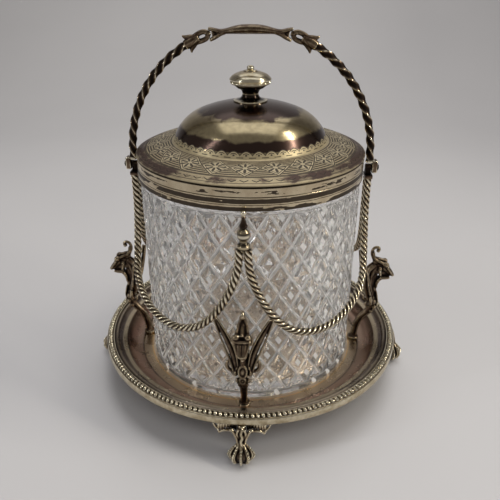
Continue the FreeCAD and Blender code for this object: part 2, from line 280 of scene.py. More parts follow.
def place_four(piece, node_start, name, material):
    """One modelled piece and three copies, at the front, right, back and left."""
    for quarter, turn in QUARTERS.items():
        copy = copied(piece, name + "_" + quarter, turn)
        finish_as(copy, "stand", "frame_plate", material, node_start + "_" + quarter)
    bpy.data.objects.remove(piece)


def set_depth(obj, function):
    """Stores on each point how deep it lies in a groove, from 0 on a ridge to 1 in a groove."""
    layer = obj.data.attributes.new("groove", "FLOAT", "POINT")
    for vertex, value in zip(obj.data.vertices, layer.data):
        value.value = function(vertex.co)


# Materials
class Finish:
    """Builds one material: adds shader nodes and joins them up."""

    def __init__(self, name, **surface):
        self.material = bpy.data.materials.new(name)
        self.material.use_nodes = True
        self.tree = self.material.node_tree
        self.surface = self.tree.nodes["Principled BSDF"]
        for key, value in surface.items():
            self.surface.inputs[key.replace("_", " ")].default_value = value

    def add(self, kind, inputs=(), **settings):
        node = self.tree.nodes.new("ShaderNode" + kind)
        for key, value in settings.items():
            setattr(node, key, value)
        for key, value in dict(inputs).items():
            self.put(value, node.inputs[key])
        return node

    def put(self, value, socket):
        if isinstance(value, bpy.types.NodeSocket):
            self.tree.links.new(value, socket)
        else:
            socket.default_value = value

    def compute(self, operation, *values, clamp=False):
        node = self.add("Math", dict(enumerate(values)), operation=operation, use_clamp=clamp)
        return node.outputs[0]

    plus = partialmethod(compute, "ADD")
    minus = partialmethod(compute, "SUBTRACT")
    times = partialmethod(compute, "MULTIPLY")
    over = partialmethod(compute, "DIVIDE")
    scaled = partialmethod(compute, "MULTIPLY_ADD")
    absolute = partialmethod(compute, "ABSOLUTE")
    above = partialmethod(compute, "GREATER_THAN")
    below = partialmethod(compute, "LESS_THAN")
    more_of = partialmethod(compute, "MAXIMUM")
    turn_of = partialmethod(compute, "ARCTAN2")
    whole = partialmethod(compute, "FLOOR")
    rest = partialmethod(compute, "FRACT")

    def either(self, *values):
        """The strongest of several marks."""
        total = values[0]
        for value in values[1:]:
            total = self.more_of(total, value)
        return total

    def length(self, one, two):
        return self.compute("SQRT", self.plus(self.times(one, one), self.times(two, two)))

    def place(self):
        return self.add("TexCoord").outputs["Object"]

    def axes(self):
        return self.add("SeparateXYZ", {0: self.place()}).outputs

    def noise(self, scale_mm, detail=4.0, vector=None, distortion=0.0):
        inputs = {"Scale": 1 / (scale_mm * MM), "Detail": detail, "Roughness": 0.6,
                  "Distortion": distortion, "Vector": vector or self.place()}
        return self.add("TexNoise", inputs).outputs["Fac"]

    def ramp(self, value, stops):
        """Maps 0 to 1 on to colours or greys."""
        node = self.add("ValToRGB", {"Fac": value})
        points = node.color_ramp.elements
        while len(points) < len(stops):
            points.new(0.5)
        for point, (at, colour) in zip(points, stops):
            point.position = at
            grey = isinstance(colour, (int, float))
            point.color = (colour, colour, colour, 1) if grey else (*colour, 1)
        return node.outputs["Color"]

    def mix(self, factor, first, second):
        node = self.add("Mix", data_type="RGBA")
        self.put(factor, node.inputs["Factor"])
        for value, socket in ((first, node.inputs[6]), (second, node.inputs[7])):
            self.put((*value, 1) if isinstance(value, tuple) else value, socket)
        return node.outputs[2]

    def blend(self, share, first, second):
        """Mixes two shaders."""
        return self.add("MixShader", {0: share, 1: first, 2: second}).outputs[0]

    def open_faces(self, reach_mm):
        """1 on open faces, falling to 0 in hollows and crevices."""
        node = self.add("AmbientOcclusion", {"Distance": reach_mm * MM}, samples=8, only_local=True)
        return self.ramp(node.outputs["AO"], [(0.45, 0.0), (1.0, 1.0)])

    def bump(self, height, distance_mm, strength):
        inputs = {"Height": height, "Distance": distance_mm * MM, "Strength": strength}
        return self.add("Bump", inputs).outputs["Normal"]

    def colour(self, value):
        self.put(value, self.surface.inputs["Base Color"])

    def rough(self, value):
        self.put(value, self.surface.inputs["Roughness"])

    def normal(self, value):
        self.put(value, self.surface.inputs["Normal"])


SILVER = (0.56, 0.47, 0.31)
PALE_SILVER = (0.82, 0.75, 0.58)
BROWN_TARNISH = (0.125, 0.082, 0.055)
DARK_TARNISH = (0.020, 0.014, 0.011)
COPPER_WEAR = (0.30, 0.17, 0.125)


def cast_plate(name="cast_plate", reach_mm=2.2, light=SILVER, wear=0.0):
    """Plated casting: bright on worn edges, brown on the flats, near black in the hollows."""
    f = Finish(name, Metallic=1.0)
    edges = f.scaled(f.add("NewGeometry").outputs["Pointiness"], 7.0, -3.5 + wear)
    patches = f.scaled(f.noise(4.0, 5.0), 0.7, -0.35)
    open_faces = f.scaled(f.open_faces(reach_mm), 0.75, -0.15)
    level = f.plus(f.plus(open_faces, patches), edges, clamp=True)
    f.colour(f.ramp(level, [
        (0.18, DARK_TARNISH), (0.45, BROWN_TARNISH), (0.74, light), (1.0, PALE_SILVER)]))
    f.rough(f.ramp(level, [(0.1, 0.5), (0.6, 0.28), (1.0, 0.2)]))
    f.normal(f.bump(f.noise(0.7, 3.0), 0.05, 0.5))
    return f.material


def rope_plate(name, light, groove_start):
    """Twisted bars: bright along the ridges and black down the grooves."""
    f = Finish(name, Metallic=1.0)
    groove = f.add("Attribute", attribute_name="groove").outputs["Fac"]
    worn = f.scaled(f.noise(9.0, 4.0), 0.5, -0.25)
    depth = f.plus(groove, worn, clamp=True)
    f.colour(f.ramp(depth, [
        (0.0, PALE_SILVER), (groove_start, light), (groove_start + 0.2, BROWN_TARNISH),
        (0.85, DARK_TARNISH)]))
    f.rough(f.ramp(depth, [(0.0, 0.20), (0.6, 0.35), (1.0, 0.6)]))
    return f.material


def dish_plate():
    """The dish: bands by radius, worn to copper in the well, with streaks and stains."""
    inner_radius, wide = 66.0, 25.0
    f = Finish("dish_plate", Metallic=1.0)
    x, y = f.axes()[0:2]
    share = f.scaled(f.length(x, y), 1 / (wide * MM), -inner_radius / wide)
    bands = f.ramp(share, [
        (0.0, (0.72, 0.60, 0.46)), (0.02, (0.84, 0.56, 0.25)), (0.06, (0.50, 0.385, 0.26)),
        (0.24, (0.40, 0.31, 0.22)), (0.27, (0.10, 0.070, 0.055)), (0.31, (0.36, 0.25, 0.19)),
        (0.56, COPPER_WEAR), (0.655, (0.085, 0.060, 0.052)), (0.69, (0.46, 0.39, 0.27)),
        (0.755, (0.46, 0.39, 0.28)), (0.79, (0.10, 0.078, 0.070)), (0.87, (0.09, 0.070, 0.062)),
        (0.915, (0.40, 0.34, 0.26)), (0.96, (0.075, 0.058, 0.050))])
    stains = f.ramp(f.noise(24.0, 5.0, distortion=0.6), [(0.40, 0.0), (0.62, 1.0)])
    f.colour(f.mix(f.times(stains, 0.30), bands, (0.44, 0.35, 0.26)))
    f.rough(f.ramp(f.noise(16.0, 5.0), [(0.35, 0.20), (0.65, 0.38)]))
    f.normal(f.bump(f.noise(6.0, 5.0), 0.05, 0.4))
    return f.material


def collar_plate():
    """The collar: pale gold, with broken dark bands, scattered dashes, a stained lower edge, and a
    painted shadow along its top under the lid's rim.
    """
    collar_radius, raggedness = 66.0, 0.9
    f = Finish("collar_plate", Metallic=1.0)
    x, y, z = f.axes()[0:3]
    along = f.times(f.turn_of(y, x), collar_radius * MM)
    unrolled = f.add("CombineXYZ", {0: f.times(along, 0.28), 2: z}).outputs[0]
    height = f.over(f.scaled(f.noise(1.5, 4.0, vector=unrolled), raggedness * MM, z), MM)

    def band(low, high):
        shift = raggedness / 2
        return f.times(f.above(height, low + shift), f.below(height, high + shift))

    def broken(scale_mm, detail, share):
        return f.above(f.noise(scale_mm, detail, vector=unrolled), share)

    lower_edge = f.times(band(134.8, 137.3), broken(5.0, 3.0, 0.40))
    fine_line = band(138.1, 138.45)
    dark_band = f.times(band(139.0, 141.5), broken(7.0, 3.0, 0.41))
    groove = f.times(f.below(f.absolute(f.minus(z, 142.35 * MM)), 0.2 * MM), 0.8)
    dashes = f.times(band(143.6, 145.6), broken(3.4, 4.0, 0.54))
    # Painted shadow: the top of the collar, under the lid's rim, is drawn near black; marks below
    # carries it with the dark bands and dashes.
    painted_shadow_under_lid = f.above(z, 146.75 * MM)
    marks = f.either(dark_band, lower_edge, fine_line, groove, dashes, painted_shadow_under_lid)
    gold = f.ramp(f.noise(9.0, 4.0), [(0.35, (0.49, 0.40, 0.27)), (0.65, (0.64, 0.55, 0.39))])
    f.colour(f.mix(f.times(marks, 0.93), gold, (0.042, 0.030, 0.024)))
    f.rough(f.scaled(marks, 0.25, 0.24))
    return f.material


def finial_plate():
    """The finials: gold rings round a dark vase."""
    foot, tall = 116.0, 21.0
    f = Finish("finial_plate", Metallic=1.0)
    share = f.over(f.minus(f.axes()[2], foot * MM), tall * MM)
    f.colour(f.ramp(share, [
        (0.02, DARK_TARNISH), (0.09, SILVER), (0.16, DARK_TARNISH), (0.26, SILVER),
        (0.31, DARK_TARNISH), (0.37, PALE_SILVER), (0.43, DARK_TARNISH), (0.49, SILVER),
        (0.55, DARK_TARNISH), (0.84, BROWN_TARNISH), (0.92, PALE_SILVER)]))
    f.rough(0.24)
    return f.material


def neck_plate():
    """The knob's neck: nearly black and glossy, between bright rings."""
    foot, tall = 175.8, 11.0
    f = Finish("neck_plate", Metallic=1.0)
    share = f.scaled(f.axes()[2], 1 / (tall * MM), -foot / tall)
    worn = f.scaled(f.noise(3.0, 3.0), 0.06, -0.03)
    f.colour(f.ramp(f.plus(share, worn), [
        (0.0, SILVER), (0.065, PALE_SILVER), (0.10, DARK_TARNISH), (0.34, (0.05, 0.037, 0.028)),
        (0.38, SILVER), (0.42, DARK_TARNISH), (0.64, DARK_TARNISH), (0.74, BROWN_TARNISH),
        (0.92, SILVER)]))
    f.rough(0.15)
    return f.material


class LidFinish(Finish):
    """The lid's finish, drawn by angle, radius and height, with what its patterns share."""

    def __init__(self, name):
        super().__init__(name, Metallic=1.0)
        dome_radius = 44.6
        self.x, y, z = self.axes()[0:3]
        self.radius = self.over(self.length(self.x, y), MM)
        self.up = self.over(z, MM)
        self.turn = self.turn_of(y, self.x)
        self.on_dome = self.below(self.radius, dome_radius)
        self.on_flange = self.minus(1.0, self.on_dome)

    def line(self, value, at, half_width, soft=0.10):
        away = self.absolute(self.minus(value, at))
        return self.minus(1.0, self.over(self.minus(away, half_width), soft), clamp=True)

    def cell(self, count):
        """Runs from -1 to 1 across each of count equal slices round the lid."""
        slices = self.times(self.turn, count / (2 * math.pi))
        return self.scaled(self.rest(self.plus(slices, 50.0)), 2.0, -1.0)


def star_flowers(f):
    """The flange's eight-petalled flowers in lozenges, hatched between; and where these lie."""
    count, band_radius, half_height = 22, 53.3, 6.9
    across = f.cell(count)
    out = f.minus(f.radius, band_radius)
    lozenge = f.plus(f.absolute(across), f.absolute(f.over(out, half_height)))
    outlines = f.either(f.line(lozenge, 1.0, 0.035, 0.03), f.line(lozenge, 0.78, 0.022, 0.03))
    aside = f.times(f.times(across, math.pi * band_radius / count), 0.78)
    reach = f.length(aside, out)
    wave = f.absolute(f.compute("COSINE", f.times(f.turn_of(out, aside), 4.0)))
    petal_end = f.scaled(f.compute("POWER", wave, 1.4), 4.7, 0.1)
    petals = f.times(f.minus(petal_end, reach), 2.4, clamp=True)
    petals = f.times(petals, f.times(f.minus(reach, 0.9), 3.0, clamp=True))
    hatching = f.above(f.rest(f.over(f.radius, 1.45)), 0.42)
    hatched = f.times(f.times(hatching, f.above(lozenge, 1.08)), 0.8)
    band_only = f.ramp(f.scaled(f.radius, 1 / 30, -40 / 30),
                       [(0.197, 0.0), (0.205, 1.0), (0.685, 1.0), (0.693, 0.0)])
    in_lozenge = f.times(f.below(lozenge, 0.94), band_only)
    return f.times(f.either(petals, outlines, hatched), band_only), in_lozenge


def flange_rings(f):
    """Three ring lines, with a row of small v-marks near the rim."""
    places = ((45.8, 0.20), (61.0, 0.16), (64.9, 0.12))
    rings = [f.line(f.radius, at, half_width) for at, half_width in places]
    vees = f.absolute(f.cell(66))
    vee_line = f.line(f.plus(f.radius, f.times(vees, 1.5)), 63.9, 0.24)
    return f.either(*rings, f.times(vee_line, f.below(vees, 0.72)))


def dome_scallops(f):
    """The scallops at the dome's foot, each with an arc, an eye and a dash; and where they lie."""
    scallop = f.absolute(f.cell(42))
    above_edge = f.minus(f.up, f.scaled(f.times(scallop, scallop), -2.0, 158.6))
    inner_arc = f.times(f.line(above_edge, -1.0, 0.16), f.below(scallop, 0.5))
    eye_mark = f.times(f.line(f.up, 156.7, 0.30), f.below(scallop, 0.16))
    base_dash = f.times(f.line(f.up, 155.6, 0.14), f.above(scallop, 0.45))
    lines = f.either(f.line(above_edge, 0.0, 0.20), inner_arc, eye_mark, base_dash)
    return f.times(lines, f.on_dome), f.times(f.below(above_edge, 0.0), f.on_dome)


def lid_tarnish_and_shade(f, in_scallops):
    """Brown stains along the flange's rim, deepened by painted shade towards the flange's left and
    right sides; on the dome, darker brown in a band above its foot and over its top, with a
    brighter band between.
    """
    lid_radius, lid_foot, dome_height = 68.0, 147.0, 30.0
    rim_stain = f.ramp(f.over(f.radius, lid_radius), [
        (0.66, 0.06), (0.86, 0.05), (0.92, 0.56), (0.965, 0.46), (0.985, 0.0)])
    # Painted shade: the flange grows darker towards its left and right sides.
    rim_stain_and_side_shade = f.scaled(f.absolute(f.x), 4.5, rim_stain)
    climb = f.scaled(f.up, 1 / dome_height, -lid_foot / dome_height)
    dome_darkening = f.ramp(climb, [
        (0.35, 0.0), (0.37, 0.92), (0.48, 0.88), (0.56, 0.30), (0.66, 0.14), (0.74, 0.24),
        (0.80, 0.70), (0.87, 0.95)])
    stain_and_shade = f.plus(f.times(rim_stain_and_side_shade, f.on_flange), f.times(dome_darkening, f.on_dome))
    spread = f.scaled(f.noise(13.0, 8.0, distortion=0.7), 1.5, -0.75)
    tarnish_and_shade = f.times(f.minus(f.plus(stain_and_shade, spread), 0.46), 4.0, clamp=True)
    return f.times(tarnish_and_shade, f.minus(1.0, in_scallops))


def engraved_plate():
    """The lid: engraved flange and dome foot, tarnished gold plate, glossy only on the dome;
    painted shade under its rim and towards the flange's sides.
    """
    f = LidFinish("engraved_plate")
    flowers, in_lozenge = star_flowers(f)
    scallops, in_scallops = dome_scallops(f)
    # Painted shade: the underside and lower edge of the lid's rim are drawn dark, together with the
    # engraved lines.
    painted_shade_under_rim = f.below(f.up, 147.95)
    lines = f.either(flowers, flange_rings(f), scallops, painted_shade_under_rim)
    worn = f.ramp(f.noise(14.0, 3.0), [(0.34, 0.55), (0.46, 1.0)])
    engraving_and_rim_shade = f.times(f.times(lines, worn), 1.7, clamp=True)
    mottle = f.ramp(f.noise(3.0, 6.0), [(0.40, 0.0), (0.75, 0.5)])
    base = f.mix(mottle, (0.56, 0.47, 0.29), (0.30, 0.235, 0.145))
    base = f.mix(f.times(f.on_flange, 0.42), base, (0.25, 0.205, 0.145))
    base = f.mix(f.times(in_lozenge, 0.42), base, (0.66, 0.58, 0.40))
    # Stains, with painted shade towards the flange's sides, over the base colour.
    stained = f.mix(lid_tarnish_and_shade(f, in_scallops), base, (0.085, 0.055, 0.045))
    f.colour(f.mix(f.times(engraving_and_rim_shade, 0.97), stained, (0.022, 0.015, 0.010)))
    matt = f.more_of(f.on_flange, in_scallops)
    f.rough(f.scaled(engraving_and_rim_shade, 0.20, f.scaled(matt, 0.22, 0.20)))
    f.put(f.scaled(engraving_and_rim_shade, -0.65, f.scaled(matt, -0.30, 1.0)), f.surface.inputs["Metallic"])
    f.normal(f.bump(f.minus(1.0, engraving_and_rim_shade), 0.05, 0.25))
    return f.material


def cut_crystal():
    """Clear lead crystal, which lets lamp light through to what stands behind and inside it.
    Frosting in the cuts, with white lozenges on some diamonds as painted glints and grey ones as
    painted shade.
    """
    f = Finish("cut_crystal", Roughness=0.0, IOR=1.48, Transmission_Weight=1.0)
    x, y, z = f.axes()[0:3]
    radius = f.length(x, y)
    cut_depth = f.scaled(radius, 1 / (5 * MM), -60.0 / 5)
    around = f.times(f.turn_of(y, x), CUT_COLUMNS / (2 * math.pi))
    rise = f.over(f.minus(z, CUT_LOW * MM), (CUT_HIGH - CUT_LOW) / CUT_ROWS * MM)
    slant_one = f.plus(f.plus(around, rise), 100.0)
    slant_two = f.plus(f.minus(around, rise), 100.0)
    diamond = f.add("CombineXYZ", {0: f.whole(slant_one), 1: f.whole(slant_two)}).outputs[0]
    chance = f.add("TexWhiteNoise", {"Vector": diamond}, noise_dimensions="3D").outputs["Value"]
    one, two = f.rest(slant_one), f.rest(slant_two)
    outside = f.above(radius, 63.0 * MM)

    def facet(middles, halves, chosen):
        """A small lozenge in the diamonds that are chosen, on the outer face only."""
        sides = [f.times(f.minus(half, f.absolute(f.minus(value, middle))), 25.0, clamp=True)
                 for value, middle, half in zip((one, two), middles, halves)]
        return f.times(f.times(f.times(*sides), outside), chosen)

    # Painted glints: white frosted lozenges on chosen diamonds; painted shade: grey lozenges on
    # others.
    large_shine = facet((0.42, 0.57), (0.15, 0.21), f.above(chance, 0.42))
    small_shine = facet((0.70, 0.36), (0.07, 0.09), f.below(chance, 0.62))
    shade = facet((0.66, 0.70), (0.10, 0.11), f.below(chance, 0.30))
    cuts = f.ramp(cut_depth, [(0.60, 0.02), (0.70, 0.32), (0.84, 0.27), (0.92, 0.05)])
    # The white shader covers the cuts, and the glint lozenges as painted glints.
    frost_and_glints = f.more_of(cuts, f.times(f.more_of(large_shine, small_shine), 0.92))
    f.colour(f.mix(shade, (0.99, 0.985, 0.98), (0.30, 0.27, 0.26)))
    path = f.add("LightPath").outputs
    through = f.more_of(f.times(path["Is Shadow Ray"], 0.9), f.above(path["Ray Depth"], 7.0))
    frost_and_glint_white = f.blend(0.5, f.add("BsdfTranslucent", {"Color": (0.98, 0.97, 0.96, 1)}).outputs[0],
                      f.add("BsdfDiffuse", {"Color": (0.97, 0.96, 0.95, 1)}).outputs[0])
    body = f.blend(frost_and_glints, f.surface.outputs[0], frost_and_glint_white)
    glass = f.blend(through, body, f.add("BsdfTransparent").outputs[0])
    f.put(glass, f.tree.nodes["Material Output"].inputs["Surface"])
    return f.material


def plaster():
    f = Finish("plaster", Roughness=0.9)
    f.colour(f.ramp(f.noise(3.0), [(0.3, (0.62, 0.59, 0.52)), (0.7, (0.78, 0.76, 0.70))]))
    return f.material


def plain_brass():
    f = Finish("plain_brass", Metallic=1.0)
    f.colour(f.ramp(f.noise(4.0), [(0.3, (0.42, 0.30, 0.12)), (0.7, (0.66, 0.50, 0.24))]))
    f.rough(0.35)
    return f.material


# Pieces
def bead_rim(material):
    """The applied rim: a banded ring that carries a row of oval beads."""
    inner, outer = 90.65, rim_radius
    seat = rim_high - 1.3
    ring = turned("bead_rim_band", [
        (inner, rim_low), (outer - 0.5, rim_low), (outer - 0.2, rim_low + 0.3),
        (outer, rim_low + 1.0), (outer - 0.1, seat - 1.2), (outer - 0.5, seat - 0.5),
        (outer - 1.1, seat - 0.3), (91.8, seat - 0.3), (91.3, seat), (inner, seat - 0.1),
        (inner, rim_low)], around=256)
    bead = lump(0, 93.0, seat - 0.15, (1.10, 1.60, 1.40))
    bead.rotation_euler.z = math.radians(28)
    rim = join("bead_rim_ring", [ring, repeat_beads(bead, 204)])
    only(rim)
    bpy.ops.object.shade_smooth_by_angle(angle=math.radians(40))
    finish_as(rim, "stand", "frame_plate", material, "bead_rim")


def repeat_beads(bead, count):
    """Makes a bead coarser and repeats it at even steps round the jar's axis."""
    only(bead)
    bpy.ops.object.transform_apply(location=True, rotation=True, scale=True)
    apply_modifier(bead, "DECIMATE", ratio=0.16)
    edit(bead)
    bpy.ops.mesh.select_all(action="SELECT")
    bpy.ops.mesh.spin(steps=count - 1, dupli=True, angle=2 * math.pi * (count - 1) / count,
                      center=(0, 0, 0), axis=(0, 0, 1))
    bpy.ops.object.mode_set(mode="OBJECT")
    return bead


def twisted_bar(name, length, radius, flutes, shares, lead, rows_per_lead):
    """A straight twisted bar along Z; shares of the radius give the outline across each flute."""
    clear_selection()
    bpy.ops.mesh.primitive_circle_add(
        vertices=flutes * len(shares), radius=radius * MM, fill_type="NGON")
    bar = bpy.context.object
    bar.name = name
    for index, vertex in enumerate(bar.data.vertices):
        vertex.co *= shares[index % len(shares)]
    edit(bar, "EDGE")
    bpy.ops.mesh.select_all(action="SELECT")
    bpy.ops.mesh.extrude_region_move(TRANSFORM_OT_translate={"value": (0, 0, length)})
    turns = length / (lead * MM)
    for _ in range(2):
        pick_edges(bar, runs_up)
        bpy.ops.mesh.subdivide(number_cuts=round(math.sqrt(turns * rows_per_lead)))
    bpy.ops.object.mode_set(mode="OBJECT")
    deepest = 1 - min(shares)
    set_depth(bar, lambda co: min(1.0, (1 - math.hypot(co.x, co.y) / (radius * MM)) / deepest))
    apply_modifier(bar, "SIMPLE_DEFORM", deform_method="TWIST", deform_axis="Z",
                   angle=-turns * 2 * math.pi)
    return bar


def bend_along(bar, points):
    """Lays a straight bar along a smooth path, with a Curve modifier that is then applied."""
    path = path_curve(points)
    apply_modifier(bar, "CURVE", object=path, deform_axis="POS_Z")
    bpy.data.objects.remove(path)
    return settle(bar, 50)


def path_curve(points):
    clear_selection()
    bpy.ops.curve.primitive_nurbs_path_add(location=(0, 0, 0))
    path = bpy.context.object
    spline = path.data.splines[0]
    spline.points.add(len(points) - len(spline.points))
    for point, place in zip(spline.points, points):
        point.co = (place[0] * MM, place[1] * MM, place[2] * MM, 1)
    spline.order_u = 3
    spline.use_endpoint_u = True
    path.data.resolution_u = 24
    path.data.twist_mode = "MINIMUM"
    path.data.use_path = True
    return path


def path_length(points):
    path = path_curve(points)
    length = path.data.splines[0].calc_length()
    bpy.data.objects.remove(path)
    return length


def rope_swags(material):
    """Four twisted ropes, which hang from the finials to the pivot posts."""
    for side, mirror, other in (("right", 1, "back_left"), ("left", -1, "back_right")):
        route = []
        for degrees, height, distance in SWAG_ROUTE:
            a = math.radians(degrees)
            route.append((mirror * distance * math.sin(a), -distance * math.cos(a), height))
        rope = twisted_bar("rope_front_" + side, path_length(route), 2.25, 4,
                           (0.66, 0.86, 0.97, 1.0, 0.97, 0.86), 14.0, 18)
        bend_along(rope, route)
        back = copied(rope, "rope_" + other, 180)
        finish_as(rope, "stand", "rope_plate", material, "rope_swag_front_" + side)
        finish_as(back, "stand", "rope_plate", material, "rope_swag_" + other)


def handle_rods(material):
    """The twisted rods of the handle, from the end blocks up to the leaf ferrules."""
    steps, end_deg, outset = 11, 61.5, 1.001
    route = [(HANDLE_REACH, 0, 141.2), (HANDLE_REACH, 0, HANDLE_HUB + 1)]
    for k in range(1, steps + 1):
        a = math.radians(end_deg * k / steps)
        across, up = HANDLE_REACH * math.cos(a), HANDLE_REACH * math.sin(a)
        route.append((across * outset, 0, HANDLE_HUB + up * outset))
    right = twisted_bar("twisted_rod_right", path_length(route), 2.5, 3,
                        (1.0, 0.91, 0.82, 0.78, 0.77, 0.78, 0.82, 0.91), 21.6, 30)
    bend_along(right, route)
    finish_handle_pair(right, "twisted_rod_left", material, "handle_rod")


def cut_glass_jar(material):
    """The barrel: a lattice of mitre cuts round raised diamonds, with plain strips at both ends."""
    root = glass_radius - 1.40
    clear_selection()
    bpy.ops.mesh.primitive_cylinder_add(
        vertices=CUT_COLUMNS, radius=root * MM, depth=(CUT_HIGH - CUT_LOW) * MM,
        end_fill_type="NOTHING", location=(0, 0, (CUT_LOW + CUT_HIGH) / 2 * MM))
    jar = bpy.context.object
    jar.name = "cut_glass_barrel"
    bpy.ops.object.transform_apply(location=True)
    edit(jar, "EDGE")
    pick_edges(jar, runs_up)
    bpy.ops.mesh.subdivide(number_cuts=CUT_ROWS - 1)
    bpy.ops.object.mode_set(mode="OBJECT")
    lattice = {tuple(sorted(e.vertices)) for e in jar.data.edges}
    heights = [v.co.z for v in jar.data.vertices]
    low, high = min(heights), max(heights)
    at_low, at_high = lies_at(low), lies_at(high)

    def inside_lattice(start, end):
        between_ends = not (at_low(start, end) or at_high(start, end))
        return between_ends and tuple(sorted((start.index, end.index))) in lattice

    edit(jar, "FACE")
    bpy.ops.mesh.select_all(action="SELECT")
    bpy.ops.mesh.poke()
    pick_edges(jar, inside_lattice)
    bpy.ops.mesh.select_mode(type="EDGE")
    bpy.ops.mesh.dissolve_edges(use_verts=False)
    bpy.ops.object.mode_set(mode="OBJECT")
    apply_modifier(jar, "CAST", cast_type="CYLINDER", factor=1.0, size=root * MM, use_z=False,
                   use_radius_as_size=False)
    edit(jar, "FACE")
    bpy.ops.mesh.select_all(action="SELECT")
    for wide, deep in ((1.0, 0.95), (2.0, 0.45)):
        bpy.ops.mesh.inset(thickness=wide * MM, depth=deep * MM, use_individual=True,
                           use_even_offset=True)
    bpy.ops.mesh.poke(offset=-0.25 * MM)
    bpy.ops.object.mode_set(mode="OBJECT")
    mouth, wall = glass_radius - 4.1, glass_radius - 4.5
    extend_barrel(jar, root, high, [
        (glass_radius, high / MM + 0.6), (glass_radius, 142.6), (glass_radius - 0.4, 143.0),
        (mouth, 143.0), (wall, 142.6), (wall, 29.0), (glass_radius - 5.2, 26.6),
        (glass_radius - 7.0, 24.6), (glass_radius - 10.0, 23.8), (30.0, 23.8), (1.0, 23.8)])
    skirt, foot = glass_radius - 0.1, dish_floor + 0.05
    extend_barrel(jar, root, low, [
        (skirt, low / MM - 0.5), (skirt, dish_floor + 0.7), (glass_radius - 0.6, foot),
        (52.0, foot), (50.0, dish_floor + 1.2), (1.0, dish_floor + 1.2)])
    settle(jar, 0)
    smooth_plain_walls(jar)
    finish_as(jar, "jar", "cut_glass", material, "glass_jar")


def extend_barrel(jar, root, end, steps):
    """From one end of the cut band: a plain strip and the walls beyond it, closed in the middle."""
    edit(jar, "EDGE")
    pick_edges(jar, lies_at(end))
    bpy.ops.mesh.subdivide(number_cuts=3)
    bpy.ops.object.mode_set(mode="OBJECT")
    for vertex in jar.data.vertices:
        if abs(vertex.co.z - end) < 0.01 * MM:
            across = math.hypot(vertex.co.x, vertex.co.y)
            vertex.co.x *= root * MM / across
            vertex.co.y *= root * MM / across
    edit(jar, "EDGE")
    pick_edges(jar, lies_at(end))
    extrude_steps([(root, end / MM)] + steps)
    bpy.ops.mesh.merge(type="CENTER")


def smooth_plain_walls(jar):
    """Smooth shading on the plain walls; the cut diamonds keep their crisp facets."""
    limit = (glass_radius - 1.5) * MM
    for face in jar.data.polygons:
        centre = face.center
        inner = math.hypot(centre.x, centre.y) < limit
        plain = centre.z > (CUT_HIGH + 0.1) * MM or centre.z < (CUT_LOW - 0.1) * MM
        face.use_smooth = inner or plain


# The bracket's bars, as stroke() takes them: those in mirrored pairs, then those on the middle line
BRACKET_PAIRS = {
    "arm": [
        (2.4, 79.2, 46.8, 1.9), (4.6, 76.2, 54.5, 2.0), (7.6, 74.2, 61.8, 1.75),
        (11.4, 72.8, 69.4, 1.35), (14.7, 71.9, 76.4, 0.9)],
    "outer_edge": [
        (4.3, 80.8, 46.0, 0.6), (7.0, 77.8, 53.6, 0.65), (10.2, 75.6, 60.8, 0.6),
        (13.4, 73.9, 68.8, 0.55), (15.8, 72.6, 76.0, 0.5)],
    "inner_edge": [
        (2.4, 80.2, 50.5, 0.55), (3.2, 78.2, 56.6, 0.6), (5.6, 76.3, 63.4, 0.6),
        (9.6, 74.5, 70.6, 0.55), (13.9, 73.0, 77.2, 0.5)],
    "hook": [
        (3.4, 78.8, 48.0, 1.0), (6.0, 78.4, 47.2, 1.1), (8.5, 78.0, 48.6, 1.05),
        (9.1, 77.8, 51.6, 0.95), (8.3, 77.6, 53.8, 0.8)],
    "side_scroll": [
        (2.9, 80.6, 51.0, 0.7), (4.4, 79.8, 47.4, 0.7), (4.8, 78.0, 44.6, 0.7),
        (4.6, 75.6, 45.0, 0.7), (4.4, 75.4, 47.8, 0.6), (4.5, 77.0, 47.8, 0.5)],
    "neck_back": [
        (1.2, 80.2, 73.6, 1.6), (1.5, 76.8, 71.6, 1.5), (1.7, 75.2, 67.6, 1.3),
        (1.8, 75.0, 62.0, 1.2), (2.0, 76.2, 56.0, 1.1), (2.6, 79.0, 50.0, 1.0)],
    "throat": [
        (1.5, 84.6, 64.6, 1.1), (1.7, 82.8, 62.6, 1.05), (1.7, 81.8, 60.2, 0.95),
        (1.3, 81.9, 58.0, 0.8)],
    "jaw": [(1.6, 83.4, 64.6, 1.3), (1.5, 86.4, 64.6, 1.3), (1.1, 89.6, 64.8, 1.2)],
    "muzzle": [
        (1.5, 84.6, 72.8, 2.2), (1.3, 87.8, 70.4, 1.9), (1.0, 90.2, 67.8, 1.6),
        (0.7, 91.2, 66.6, 1.3)],
    "muzzle_edge": [(3.9, 87.4, 72.6, 0.7), (3.1, 89.3, 69.8, 0.6), (2.0, 91.2, 66.8, 0.6)],
    "brow_side": [
        (3.3, 86.2, 74.6, 1.0), (2.6, 82.8, 76.4, 0.9), (2.1, 79.8, 77.2, 0.85),
        (1.3, 78.4, 79.4, 0.85), (0.8, 78.2, 82.2, 0.8)],
    "ear": [
        (3.4, 82.8, 73.0, 1.0), (4.9, 82.4, 71.2, 0.95), (5.1, 82.8, 68.8, 0.8),
        (4.0, 83.4, 67.6, 0.7)],
    "leg_ridge": [
        (1.6, 71.8, 20.0, 0.5), (1.5, 72.4, 27.0, 0.5), (1.7, 75.0, 33.4, 0.55),
        (2.0, 79.2, 37.6, 0.6), (2.2, 82.2, 42.0, 0.6)],
}
